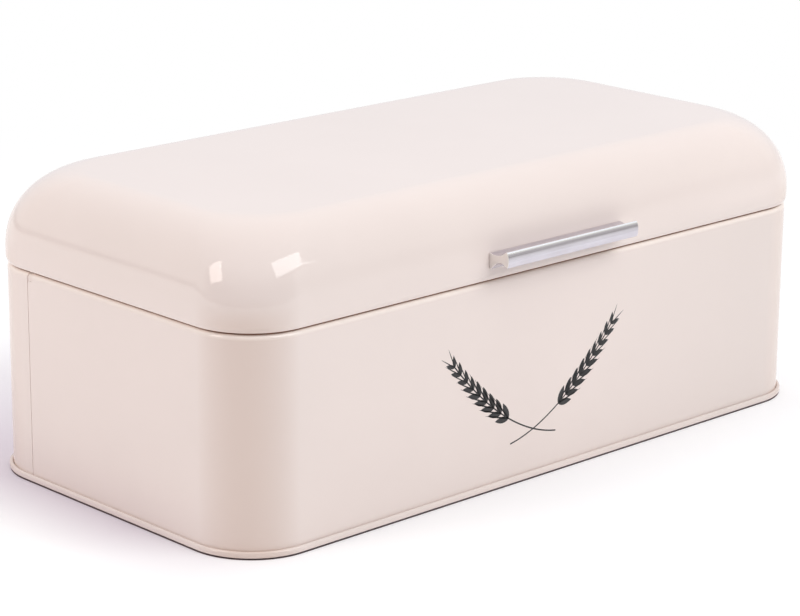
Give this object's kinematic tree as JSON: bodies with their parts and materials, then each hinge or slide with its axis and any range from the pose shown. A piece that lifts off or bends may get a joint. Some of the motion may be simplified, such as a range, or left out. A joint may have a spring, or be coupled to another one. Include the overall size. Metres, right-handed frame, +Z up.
{
  "type": "bread box",
  "caption": "Sheet-steel bread box with rounded corners, a domed lid hinged at the back and a slim metal grip on its front.",
  "frame": {"origin": "on the table surface, under the middle of the whole box, grip and hinges included", "axes": "+X along the front from left to right, +Y from the front to the hinges, +Z up"},
  "size_m": [0.4242, 0.2334, 0.1615],
  "materials": {
    "cream_enamel": "gloss",
    "brushed_aluminium": "satin",
    "plated_steel": "satin",
    "foot_rubber": "matte",
    "clear_silicone": "satin",
    "print_black": "satin"
  },
  "bodies": {
    "box": {"front_wrap": "cream_enamel", "back_panel": "cream_enamel", "base_pan": "cream_enamel", "foot_front_left": "foot_rubber", "foot_front_right": "foot_rubber", "foot_rear_left": "foot_rubber", "foot_rear_right": "foot_rubber", "bumper_front_left": "clear_silicone", "bumper_front_right": "clear_silicone", "bumper_rear_left": "clear_silicone", "bumper_rear_right": "clear_silicone", "hinge_left_body_leaf": "plated_steel", "hinge_left_pin": "plated_steel", "hinge_left_body_rivets": "plated_steel", "hinge_right_body_leaf": "plated_steel", "hinge_right_pin": "plated_steel", "hinge_right_body_rivets": "plated_steel"},
    "lid": {"lid_shell": "cream_enamel", "handle_grip": "brushed_aluminium", "handle_screw_left": "plated_steel", "handle_screw_right": "plated_steel", "handle_washer_left": "plated_steel", "handle_washer_right": "plated_steel", "hinge_left_lid_leaf": "plated_steel", "hinge_left_lid_rivets": "plated_steel", "hinge_right_lid_leaf": "plated_steel", "hinge_right_lid_rivets": "plated_steel"}
  },
  "joints": [
    {"name": "lid_hinge", "type": "hinge", "parent": "box", "child": "lid", "pos_m": [0, 0.11093, 0.113], "axis": [-1, 0, 0], "range_deg": [0, 100]}
  ]
}
